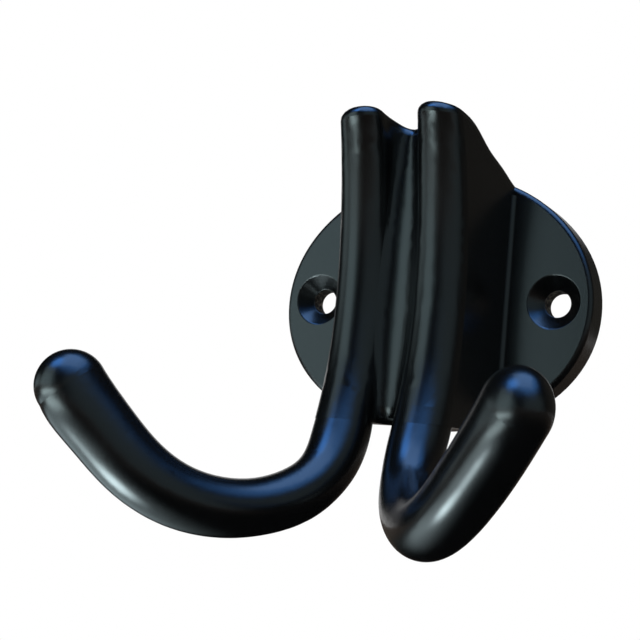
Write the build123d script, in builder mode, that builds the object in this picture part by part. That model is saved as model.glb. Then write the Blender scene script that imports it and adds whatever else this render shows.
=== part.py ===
from build123d import *
import math
import os

# Double coat hook, cast in one piece, in millimetres. The back of the base plate lies on the wall
# at y = 0, the hook stands out towards -Y and +Z is up. The origin is on the back face, midway
# between the two screw holes.

# Base plate: an upright oval, wider than it is tall, with its lower half blunter than its upper
plate_width = 41.6
plate_thickness = 4.0
plate_drop = 0.4  # widest line of the oval below the line of the screw holes
plate_rise = 16.9  # top of the oval above its widest line
plate_fall = 15.7  # and bottom of it below that line
plate_fullness_above = 0.552  # 0.552 is an ellipse, and more than that is fuller at the corners
plate_fullness_below = 0.59
plate_edge_radius = 0.6

# Countersunk screw holes, level with each other
hole_inset = 4.8  # edge of the plate to the axis of each hole
bore_diameter = 3.3
countersink_diameter = 6.6
countersink_angle = 90.0
hole_rim_radius = 0.25

# Trunk: a block that carries two upright lobes with a groove between them
lobe_offset = 5.1  # middle plane to the axis of each lobe
lobe_radius_foot = 3.45
lobe_radius_crest = 2.8
lobe_standoff = 12.4  # wall to the lobes' axes at the height where they bow in most
lobe_bow_height = -2.5
lobe_bow_radius_above = 62.0
lobe_bow_radius_below = 42.0
trunk_foot = -16.4  # height of the underside between the prongs
trunk_root_width = 19.9  # width where the flat sides meet the plate
cove_width = 0.45  # reach of the cove along the plate, where the flat sides meet it
cove_overlap = 0.15  # how far the cove's edge runs into the flat sides
cove_radius = 0.7
cove_drop = 1.4  # top of the cove below the heel
groove_floor = 13.5  # wall to the upright floor of the groove
groove_wall = 0.9  # least depth of the groove's own sides, past which they are the lobes
groove_foot_radius = 2.0  # the floor of the groove rolls under the trunk

# Top of the trunk, seen from the side: heel at the plate, slope, crest over the lobes. The slope
# and crest are crowned, and fall away from the middle plane
heel_height = 14.6
heel_depth = 1.5
slope_foot_rise = 0.28  # share of the way up from the heel to the crest
slope_foot_depth = 6.0
slope_middle_rise = 0.507
slope_middle_depth = 9.6
slope_head_rise = 0.838
slope_head_depth = 13.3
crest_height = 21.4
crest_reach = 3.3  # from the lobes' axes forward to where the crest turns level
crest_fall = 0.7  # drop of the crest at the stated distance from the middle plane
crest_fall_offset = 7.0
slope_foot_fall = 0.26  # share of that drop at the foot of the slope
slope_middle_fall = 0.35
slope_head_fall = 0.56
crest_edge_radius = 1.05

# Underside of the trunk, seen from the side: level under the lobes, then rising to the plate
sole_depth = 10.8
sole_rise = 2.2

# Prongs: the axis of each, from inside its lobe down into the bend and up to the tip
prong_root_rise = 2.5  # start of the prong above the foot of its lobe, inside the lobe
turn_offset = 5.4
turn_depth = 17.8
turn_height = -22.6
sag_offset = 10.4
sag_depth = 26.2
sag_height = -27.55
rise_offset = 16.65
rise_depth = 33.7
rise_height = -26.25
tip_offset = 25.6
tip_depth = 40.3
tip_height = -16.1
tip_elevation = 50.0  # direction of the tip above the level
tip_splay = 56.0  # direction of the tip outwards from straight ahead
prong_radius_bend = 3.2
prong_radius_tip = 4.0  # in the upright plane through the tip
prong_side_radius_tip = 3.2
prong_recess = 0.02  # the prong starts this much inside the skin of its lobe
bend_start = 0.33  # share of the prong's length where it has its slimmest section
prong_sections = 8


def plate_quarter(reach, height, fullness):
    """A quarter of the plate's outline, from its widest line to its top or bottom."""
    level = -plate_drop
    Bezier(
        (reach, level),
        (reach, level + height * fullness),
        (reach * fullness, level + height),
        (0, level + height),
    )


def slope_height(rise):
    """Height of the slope in the middle plane, at this share of the way from heel to crest."""
    return heel_height + (crest_height - heel_height) * rise


def lobe_depth(z):
    """Distance from the wall to the lobes' axes at height z."""
    rise = z - lobe_bow_height
    bow = lobe_bow_radius_above if rise > 0 else lobe_bow_radius_below
    return lobe_standoff + bow - math.sqrt(bow**2 - rise**2)


def lobe_radius(z):
    """Radius of the lobes at height z, tapering from the foot to the crest."""
    share = (z - trunk_foot) / (crest_height - trunk_foot)
    return lobe_radius_foot + (lobe_radius_crest - lobe_radius_foot) * share**3


def groove_roll(z):
    """How far the floor of the groove has rolled back at height z."""
    share = min(1, max(0, 1 - (z - trunk_foot) / groove_foot_radius))
    return groove_foot_radius * (1 - math.sqrt(1 - share**2))


def groove_lip(z):
    """Distance from the wall to where the sides of the groove leave the round of the lobes."""
    lobe, side = lobe_depth(z), groove_floor + groove_wall
    # the deeper of the two, blended where they cross
    return (lobe + side) / 2 + math.hypot((lobe - side) / 2, groove_wall / 4)


def trunk_section(z):
    """Plan of the trunk at height z: flat sides that run into the round lobes, and the groove."""
    y = -lobe_depth(z)
    r = lobe_radius(z)
    root = trunk_root_width / 2
    # the flat side leaves the root of the trunk and touches the lobe
    run_x = root - lobe_offset
    run_y = -plate_thickness - y
    turn = math.atan2(run_y, run_x) - math.acos(r / math.hypot(run_x, run_y))
    touch = (lobe_offset + r * math.cos(turn), y + r * math.sin(turn))
    flare = (root - touch[0]) / (-plate_thickness - touch[1])
    back = (root + flare * plate_thickness, 0)
    # the lobe ends at the lip of the groove
    leave = -math.pi + math.asin((groove_lip(z) + y) / r)
    lip = (lobe_offset + r * math.cos(leave), y + r * math.sin(leave))
    half = (turn + leave) / 2
    belly = (lobe_offset + r * math.cos(half), y + r * math.sin(half))
    floor = -groove_floor + groove_roll(z)
    inward = (math.sin(leave), -math.cos(leave))
    outward = (math.sin(leave), math.cos(leave))
    with BuildSketch(Plane.XY.offset(z)) as section:
        with BuildLine():
            Line((-back[0], 0), back)
            Line(back, touch)
            ThreePointArc(touch, belly, lip)
            Spline(lip, (0, floor), (-lip[0], lip[1]), tangents=(inward, outward), tangent_scalars=(1, 1))
            ThreePointArc((-lip[0], lip[1]), (-belly[0], belly[1]), (-touch[0], touch[1]))
            Line((-touch[0], touch[1]), (-back[0], 0))
        make_face()
    return section.sketch


# the axis of each prong leaves along the bow of its lobe
prong_top = trunk_foot + prong_root_rise
prong_lean = math.asin((lobe_bow_height - prong_top) / lobe_bow_radius_below)
foot_lean = math.asin((lobe_bow_height - trunk_foot) / lobe_bow_radius_below)
rise_angle = math.radians(tip_elevation)
tip_direction = (
    math.cos(rise_angle) * math.sin(math.radians(tip_splay)),
    -math.cos(rise_angle) * math.cos(math.radians(tip_splay)),
    math.sin(rise_angle),
)
prong_axis = Spline(
    (lobe_offset, -lobe_depth(prong_top), prong_top),
    (turn_offset, -turn_depth, turn_height),
    (sag_offset, -sag_depth, sag_height),
    (rise_offset, -rise_depth, rise_height),
    (tip_offset, -tip_depth, tip_height),
    tangents=((0, -math.sin(prong_lean), -math.cos(prong_lean)), tip_direction),
    tangent_scalars=(1, 1),
)
foot_share = prong_root_rise / math.cos(prong_lean) / prong_axis.length
stations = [0] + [foot_share + (1 - foot_share) * i / prong_sections for i in range(prong_sections + 1)]


def prong_plane(share):
    """Plane of the section that lies this share of the way along the prong's axis."""
    facing = prong_axis % share
    # the section's long axis lies across the lobe at the top, and in the plane of the bend below
    splay = math.radians(90 + (tip_splay - 90) * min(1, share / bend_start))
    across = Vector(math.cos(splay), math.sin(splay), 0)
    return Plane(origin=prong_axis @ share, x_dir=facing.cross(across), z_dir=facing)


def ease(share):
    """Smooth change from 0 to 1, level at both ends."""
    share = max(0, min(1, share))
    return share**2 * (3 - 2 * share)


def prong_radii(share):
    """Long and short half widths of the section: slim in the bend, and swelling to the tip."""
    top_long = lobe_radius_foot - prong_recess
    top_short = lobe_radius_foot * math.cos(foot_lean) - prong_recess
    slimming = ease(share / bend_start)
    swell = ease((share - bend_start) / (1 - bend_start))
    long_half = top_long + (prong_radius_bend - top_long) * slimming
    short_half = top_short + (prong_radius_bend - top_short) * slimming
    long_half += (prong_radius_tip - prong_radius_bend) * swell
    short_half += (prong_side_radius_tip - prong_radius_bend) * swell
    return long_half, short_half


# the trunk runs past the crest, and is cut back to it below
shoulder = trunk_foot + groove_foot_radius
summit = crest_height + crest_edge_radius
crest_depth = lobe_depth(crest_height) + crest_reach
trunk_levels = [shoulder + (summit - shoulder) * i / 5 for i in range(6)]
crown_stations = [trunk_root_width * share for share in (-0.75, -0.375, 0, 0.375, 0.75)]
foot_levels = [trunk_foot + groove_foot_radius * share for share in (0, 0.2, 0.6, 1)]

hole_spacing = plate_width - 2 * hole_inset

with BuildPart() as plate:
    with BuildSketch(Plane.XZ):
        with BuildLine():
            plate_quarter(plate_width / 2, plate_rise, plate_fullness_above)
            plate_quarter(-plate_width / 2, plate_rise, plate_fullness_above)
            plate_quarter(-plate_width / 2, -plate_fall, plate_fullness_below)
            plate_quarter(plate_width / 2, -plate_fall, plate_fullness_below)
        make_face()
    extrude(amount=plate_thickness)
    fillet(plate.faces().sort_by(Axis.Y)[0].edges(), plate_edge_radius)
    with Locations(Plane.XZ.offset(plate_thickness)):
        with GridLocations(hole_spacing, hole_spacing, 2, 1):
            CounterSinkHole(bore_diameter / 2, countersink_diameter / 2, plate_thickness, countersink_angle)
    mouths = plate.faces().sort_by(Axis.Y)[0].inner_wires().edges()
    fillet(mouths, hole_rim_radius)

with BuildPart() as tip_cap:
    Sphere(prong_radius_tip, arc_size1=0, align=(Align.CENTER, Align.CENTER, Align.MIN))
    scale(by=(1, prong_side_radius_tip / prong_radius_tip, 1))

with BuildPart() as prong:
    for station in stations:
        with BuildSketch(prong_plane(station)):
            Ellipse(*prong_radii(station))
    loft()
    # rounded end, as high as it is wide across the bend
    with Locations(Location(prong_plane(1))):
        add(tip_cap.part)

# everything above the heel, the slope and the crowned crest, which is cut from the trunk
with BuildPart() as over_crest:
    for side in crown_stations:
        fall = crest_fall * (side / crest_fall_offset) ** 2
        with BuildSketch(Plane.YZ.offset(side)):
            with BuildLine():
                Line((trunk_root_width, heel_height), (-heel_depth, heel_height))
                Spline(
                    (-heel_depth, heel_height),
                    (-slope_foot_depth, slope_height(slope_foot_rise) - slope_foot_fall * fall),
                    (-slope_middle_depth, slope_height(slope_middle_rise) - slope_middle_fall * fall),
                    (-slope_head_depth, slope_height(slope_head_rise) - slope_head_fall * fall),
                    (-crest_depth, crest_height - fall),
                    tangents=((-1, 0), (-1, 0)),
                    tangent_scalars=(1, 1),
                )
                Polyline(
                    (-crest_depth, crest_height - fall),
                    (-2 * crest_depth, crest_height - fall),
                    (-2 * crest_depth, 2 * crest_height),
                    (trunk_root_width, 2 * crest_height),
                    (trunk_root_width, heel_height),
                )
            make_face()
    loft()

with BuildPart() as hook:
    # trunk, with its lobes and groove
    for level in trunk_levels:
        add(trunk_section(level))
    loft()

    # heel, slope and crest
    add(over_crest.part, mode=Mode.SUBTRACT)

    # rounded edge of the crest, around both lobes and the groove
    top_faces = hook.faces().filter_by(
        lambda f: f.center().Z > heel_height - crest_edge_radius
        and abs(f.normal_at().X) < 0.05
        and f.normal_at().Z > 0.5
    )
    top_edges = top_faces.edges()
    rim = [e for e in top_edges if sum(e.is_same(other) for other in top_edges) == 1]
    fillet([e for e in rim if e.center().Y < -heel_depth], crest_edge_radius)

    # foot of the trunk, where the groove rolls under
    for level in foot_levels:
        add(trunk_section(level))
    loft()

    # cove where the trunk meets the plate
    with BuildSketch(Plane.XY.offset(trunk_foot)):
        with BuildLine():
            cove_x = trunk_root_width / 2 + cove_width
            cove_y = -plate_thickness - cove_width
            wall_x = trunk_root_width / 2 - cove_overlap
            RadiusArc((cove_x, -plate_thickness), (wall_x, cove_y), cove_radius)
            Line((wall_x, cove_y), (-wall_x, cove_y))
            RadiusArc((-wall_x, cove_y), (-cove_x, -plate_thickness), cove_radius)
            Line((-cove_x, -plate_thickness), (-cove_x, -plate_thickness / 2))
            Line((-cove_x, -plate_thickness / 2), (cove_x, -plate_thickness / 2))
            Line((cove_x, -plate_thickness / 2), (cove_x, -plate_thickness))
        make_face()
    extrude(amount=heel_height - cove_drop - trunk_foot)

    # underside, rising to the plate
    with BuildSketch(Plane.YZ):
        with BuildLine():
            Polyline(
                (0, trunk_foot + sole_rise),
                (-plate_thickness, trunk_foot + sole_rise),
                (-sole_depth, trunk_foot),
                (-sole_depth, 2 * trunk_foot),
                (0, 2 * trunk_foot),
                close=True,
            )
        make_face()
    extrude(amount=trunk_root_width, both=True, mode=Mode.SUBTRACT)

    # base plate, with its rounded front edge
    add(plate.part)

    # prongs
    add(prong.part)
    add(mirror(prong.part, about=Plane.YZ, mode=Mode.PRIVATE))

os.makedirs("parts", exist_ok=True)
hook.part.label = "double_hook"
export_step(hook.part, "parts/double_hook.step")
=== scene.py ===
import bpy
import math
from mathutils import Matrix, Vector


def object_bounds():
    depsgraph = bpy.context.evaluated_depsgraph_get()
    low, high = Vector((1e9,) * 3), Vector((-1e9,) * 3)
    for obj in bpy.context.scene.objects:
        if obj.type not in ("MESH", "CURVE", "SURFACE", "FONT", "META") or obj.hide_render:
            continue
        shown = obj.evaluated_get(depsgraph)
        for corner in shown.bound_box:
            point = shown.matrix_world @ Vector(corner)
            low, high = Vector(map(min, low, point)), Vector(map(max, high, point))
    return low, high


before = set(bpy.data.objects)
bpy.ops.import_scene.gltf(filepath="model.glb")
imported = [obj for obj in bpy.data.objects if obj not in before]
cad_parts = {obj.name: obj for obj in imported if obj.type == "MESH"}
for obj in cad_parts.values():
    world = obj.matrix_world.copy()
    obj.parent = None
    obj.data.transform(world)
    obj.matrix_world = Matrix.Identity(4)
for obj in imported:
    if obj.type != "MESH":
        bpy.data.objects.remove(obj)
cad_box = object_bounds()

# Double coat hook in satin black, in metres. No piece is added to the casting: it gets its finish
# here, and stands in front of plain white over a pale floor.

MM = 0.001

# screw holes of the plate
hole_offset = 16 * MM  # middle plane to the axis of each hole
bore_radius = 1.65 * MM
bore_length = 2.35 * MM  # wall to where the countersink begins

# floor and camera
floor_drop = 40 * MM  # lowest point of the hook to the floor
floor_radius = 1.6
floor_middle = Vector((0, -20, 0)) * MM
aim = Vector((-6.69, -20, -5.21)) * MM  # what the camera and the lamps face
camera_turn = 29.2  # degrees round the upright, from straight ahead
camera_rise = -7.7
camera_lean = 5.37
camera_distance = 150 * MM
sensor_width = 36.0
focal_length = 72.2166


# ---------------------------------------------------------------- node helpers

def new_material(name):
    """An empty node material with its output, ready to be built up."""
    material = bpy.data.materials.new(name)
    material.use_nodes = True
    tree = material.node_tree
    tree.nodes.clear()
    return material, tree, tree.nodes.new("ShaderNodeOutputMaterial")


def feed(tree, socket, value):
    """Link an input to a socket, or set it to a plain value."""
    if isinstance(value, bpy.types.NodeSocket):
        tree.links.new(value, socket)
    else:
        socket.default_value = value


def add_node(tree, kind, inputs=None, **settings):
    """Add a node with its settings, and feed its inputs by name or number."""
    node = tree.nodes.new(kind)
    for name, value in settings.items():
        setattr(node, name, value)
    for name, value in (inputs or {}).items():
        feed(tree, node.inputs[name], value)
    return node


def maths(tree, operation, *values):
    """A Math node whose inputs are numbers or sockets."""
    return add_node(tree, "ShaderNodeMath", dict(enumerate(values)), operation=operation).outputs[0]


def measure(tree, operation, *vectors):
    """The number that a Vector Math node gives for these vectors."""
    node = add_node(tree, "ShaderNodeVectorMath", dict(enumerate(vectors)), operation=operation)
    return node.outputs["Value"]


def ramp(tree, value, low, high):
    """0 at low, 1 at high, and smooth between them."""
    limits = {"Value": value, "From Min": low, "From Max": high}
    return add_node(tree, "ShaderNodeMapRange", limits, interpolation_type="SMOOTHSTEP").outputs["Result"]


def blend_colour(tree, factor, first, second):
    """Mix of two colours, each a tuple or a socket, by a factor socket."""
    node = add_node(tree, "ShaderNodeMix", {"Factor": factor}, data_type="RGBA")
    for name, value in (("A", first), ("B", second)):
        socket = next(s for s in node.inputs if s.name == name and s.type == "RGBA")
        feed(tree, socket, (*value, 1) if isinstance(value, tuple) else value)
    return next(s for s in node.outputs if s.type == "RGBA")


def blend_shader(tree, factor, first, second):
    """Mix of two shaders by a factor socket."""
    return add_node(tree, "ShaderNodeMixShader", {0: factor, 1: first, 2: second}).outputs[0]


def noise(tree, coordinates, scale, detail, roughness=0.5):
    """Noise on the object's own coordinates; the scale is in waves per metre."""
    inputs = {"Vector": coordinates, "Scale": scale, "Detail": detail, "Roughness": roughness}
    return add_node(tree, "ShaderNodeTexNoise", inputs).outputs["Fac"]


def bump(tree, height, distance, strength, below=None):
    """Bump of a height pattern, on top of the bump below it."""
    node = add_node(tree, "ShaderNodeBump", {"Height": height, "Distance": distance, "Strength": strength})
    if below is not None:
        feed(tree, node.inputs["Normal"], below)
    return node.outputs[0]


def who_looks(tree):
    """Two sockets: 1 for what the camera sees, and 1 for what is seen in gloss or through glass."""
    path = tree.nodes.new("ShaderNodeLightPath")
    mirrored = maths(tree, "MAXIMUM", path.outputs["Is Glossy Ray"], path.outputs["Is Transmission Ray"])
    return path.outputs["Is Camera Ray"], mirrored


# ---------------------------------------------------------------- finish of the hook

def bare_bores(tree, place, grain):
    """1 on the walls of the two bores, with a ragged edge, and 0 elsewhere."""
    x, y, z = add_node(tree, "ShaderNodeSeparateXYZ", {0: place}).outputs
    from_axis = maths(tree, "SUBTRACT", maths(tree, "ABSOLUTE", x), hole_offset)
    squares = maths(tree, "MULTIPLY", from_axis, from_axis), maths(tree, "MULTIPLY", z, z)
    radius = maths(tree, "SQRT", maths(tree, "ADD", *squares))
    ragged = maths(tree, "MULTIPLY_ADD", grain, 0.5 * MM, radius)
    outside = ramp(tree, ragged, bore_radius + 0.25 * MM, bore_radius + 0.5 * MM)
    behind = ramp(tree, y, -bore_length - 0.05 * MM, -bore_length + 0.05 * MM)
    return maths(tree, "MULTIPLY", maths(tree, "SUBTRACT", 1, outside), behind)


def dust_specks(tree, place):
    """1 on a few tiny round specks, one to a cell and in some of the cells only."""
    cells = add_node(tree, "ShaderNodeTexVoronoi", {"Vector": place, "Scale": 240})
    chance = add_node(tree, "ShaderNodeSeparateColor", {0: cells.outputs["Color"]}).outputs[0]
    few = maths(tree, "GREATER_THAN", chance, 0.86)
    dot = maths(tree, "SUBTRACT", 1, ramp(tree, cells.outputs["Distance"], 0.014, 0.034))
    return maths(tree, "MULTIPLY", few, dot)


def satin_black_coating():
    """Satin black coat over the casting, and patchy bare metal inside the bores."""
    material, tree, output = new_material("satin_black_coating")
    place = tree.nodes.new("ShaderNodeTexCoord").outputs["Object"]

    # fine skin of the coat: slow swells, the peel of the spray and a dusty grain
    swells = noise(tree, place, scale=160, detail=2)
    peel = noise(tree, place, scale=1500, detail=3)
    grain = noise(tree, place, scale=7000, detail=2)
    speck = dust_specks(tree, place)

    bore = bare_bores(tree, place, grain)
    patches = noise(tree, place, scale=2600, detail=4, roughness=0.7)
    bare = maths(tree, "MULTIPLY", bore, ramp(tree, patches, 0.50, 0.62))

    black = blend_colour(tree, swells, (0.0010, 0.0013, 0.0016), (0.0026, 0.0029, 0.0032))
    dusted = blend_colour(tree, speck, black, (0.16, 0.17, 0.17))
    metal = blend_colour(tree, grain, (0.12, 0.10, 0.075), (0.42, 0.37, 0.30))

    # satin all over, a little uneven, and dull in the bores
    roughness = maths(tree, "MULTIPLY_ADD", swells, 0.05, 0.195)
    roughness = maths(tree, "MULTIPLY_ADD", peel, 0.05, roughness)
    roughness = maths(tree, "MULTIPLY_ADD", bore, 0.4, roughness)

    skin = bump(tree, peel, distance=0.012 * MM, strength=0.35)
    skin = bump(tree, grain, distance=0.004 * MM, strength=0.35, below=skin)
    pits = maths(tree, "MULTIPLY", bore, patches)
    raised = maths(tree, "MULTIPLY_ADD", pits, 4, speck)
    skin = bump(tree, raised, distance=0.03 * MM, strength=0.6, below=skin)

    shader = add_node(tree, "ShaderNodeBsdfPrincipled", {
        "Base Color": blend_colour(tree, bare, dusted, metal),
        "Roughness": roughness,
        "Metallic": maths(tree, "MULTIPLY", bare, 0.6),
        "Normal": skin,
        "IOR": 1.5,
        "Specular IOR Level": 0.5,
    })
    feed(tree, output.inputs["Surface"], shader.outputs[0])
    return material


# ---------------------------------------------------------------- surroundings

def towards(azimuth, height):
    """Direction by its turn from straight ahead of the hook and its height, in degrees."""
    azimuth, height = math.radians(azimuth), math.radians(height)
    level = math.cos(height)
    return Vector((level * math.sin(azimuth), -level * math.cos(azimuth), math.sin(height)))


def floor_paint():
    """Pale floor that runs out into plain white, with what the gloss of the hook mirrors in it."""
    material, tree, output = new_material("floor_paint")
    place = tree.nodes.new("ShaderNodeTexCoord").outputs["Object"]
    away = measure(tree, "LENGTH", place)
    camera_ray, mirrored = who_looks(tree)

    # for the gloss: shade under the hook, soft bright pools on the left and white far out
    glow = blend_colour(tree, ramp(tree, away, 0.08, 0.3), (0.006, 0.006, 0.006), (0.10, 0.08, 0.065))
    for centre, full, gone, colour in (
        ((-0.085, -0.07, 0), 0.04, 0.10, (1.5, 1.9, 2.0)),
        ((-0.13, -0.22, 0), 0.05, 0.13, (6.4, 8.2, 8.4)),
        ((-0.043, -0.068, 0), 0.004, 0.026, (18, 22.5, 23.5)),
    ):
        gap = measure(tree, "DISTANCE", place, Vector(centre) - floor_middle)
        glow = blend_colour(tree, ramp(tree, gap, gone, full), glow, colour)
    glow = blend_colour(tree, ramp(tree, away, 0.8, 1.5), glow, (1.0, 1.0, 1.0))
    glint = add_node(tree, "ShaderNodeEmission", {"Color": glow}).outputs[0]

    # for the camera: dull paint that takes the shadow, then white
    paint = add_node(tree, "ShaderNodeBsdfDiffuse", {"Color": (0.86, 0.86, 0.86, 1)}).outputs[0]
    white = add_node(tree, "ShaderNodeEmission", {"Color": (1, 1, 1, 1)}).outputs[0]
    runs_out = maths(tree, "MULTIPLY", ramp(tree, away, 0.09, 0.22), camera_ray)
    plain = blend_shader(tree, runs_out, paint, white)
    feed(tree, output.inputs["Surface"], blend_shader(tree, mirrored, plain, glint))
    return material


def lay_floor(height):
    """A wide round floor at this height under the hook."""
    bpy.ops.object.select_all(action="DESELECT")
    middle = (floor_middle.x, floor_middle.y, height)
    bpy.ops.mesh.primitive_circle_add(vertices=96, radius=floor_radius, fill_type="NGON", location=middle)
    floor = bpy.context.object
    floor.name = "floor"
    floor.data.materials.append(floor_paint())


def place_camera():
    """The camera looks at the aim point, leaning a little to one side."""
    back = towards(camera_turn, camera_rise)
    turn, lean = math.radians(camera_turn), math.radians(camera_lean)
    right = Vector((math.cos(turn), math.sin(turn), 0))
    up = back.cross(right)
    across = right * math.cos(lean) + up * math.sin(lean)
    upright = up * math.cos(lean) - right * math.sin(lean)
    lens = bpy.data.cameras.new("camera")
    lens.sensor_width = sensor_width
    lens.lens = focal_length
    lens.clip_start = 0.005
    lens.clip_end = 20
    camera = bpy.data.objects.new("camera", lens)
    bpy.context.collection.objects.link(camera)
    facing = Matrix((across, upright, back)).transposed().to_4x4()
    camera.matrix_world = Matrix.Translation(aim + back * camera_distance) @ facing
    bpy.context.scene.camera = camera


def soft_lamp(name, direction, distance, width, height, level, colour):
    """A soft rectangular lamp that faces the aim point; level 1 lights a white card to white."""
    lamp = bpy.data.lights.new(name, "AREA")
    lamp.shape = "RECTANGLE"
    lamp.size = width
    lamp.size_y = height
    lamp.energy = level * math.pi**2 * distance**2
    lamp.color = colour
    holder = bpy.data.objects.new(name, lamp)
    bpy.context.collection.objects.link(holder)
    holder.location = aim + direction * distance
    holder.rotation_euler = direction.to_track_quat("Z", "Y").to_euler()


def room_light():
    """White behind the hook, plain even light on dull surfaces, and a dim room for the gloss."""
    world = bpy.data.worlds.new("room")
    bpy.context.scene.world = world
    world.use_nodes = True
    tree = world.node_tree
    tree.nodes.clear()
    output = tree.nodes.new("ShaderNodeOutputWorld")
    sight = tree.nodes.new("ShaderNodeTexCoord").outputs["Generated"]
    camera_ray, mirrored = who_looks(tree)

    # for the gloss: soft round patches, each full within its first angle and gone at its second
    room = (0.004, 0.006, 0.007)
    for direction, colour, full, gone in (
        (towards(139, 12), (0.07, 0.065, 0.055), 15, 45),  # warm wall behind on the right
        (towards(55, 5), (0.27, 0.37, 0.40), 14, 52),  # pale wall at the right front
        (towards(-33, 1), (0.50, 0.74, 0.80), 6, 32),  # window at the left front
        (towards(-75, -10), (0.8, 1.05, 1.1), 2, 30),  # low light on the left
        (towards(30, 68), (0.45, 1.5, 4.0), 18, 42),  # broad blue sky
        (towards(-35, 52), (0.95, 3.4, 9.8), 0, 18),  # bright blue sky over the window
        (-towards(camera_turn, camera_rise), (0.8, 0.8, 0.8), 12, 30),  # white behind the hook
    ):
        facing = measure(tree, "DOT_PRODUCT", sight, direction)
        inside = ramp(tree, facing, math.cos(math.radians(gone)), math.cos(math.radians(full)))
        room = blend_colour(tree, inside, room, colour)

    around = blend_colour(tree, mirrored, (0.72, 0.72, 0.72), room)
    shown = blend_colour(tree, camera_ray, around, (1.0, 1.0, 1.0))
    light = add_node(tree, "ShaderNodeBackground", {"Color": shown})
    feed(tree, output.inputs["Surface"], light.outputs[0])


# ---------------------------------------------------------------- the scene

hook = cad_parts["double_hook"]
hook.data.materials.clear()
hook.data.materials.append(satin_black_coating())

lay_floor(cad_box[0][2] - floor_drop)
place_camera()
soft_lamp("window", towards(-37, 10), 0.60, 0.40, 0.60, level=0.20, colour=(0.72, 0.95, 1.0))
soft_lamp("sky", towards(20, 72), 0.60, 0.50, 0.50, level=0.25, colour=(0.62, 0.80, 1.0))
room_light()
bpy.context.scene.view_settings.view_transform = "Standard"
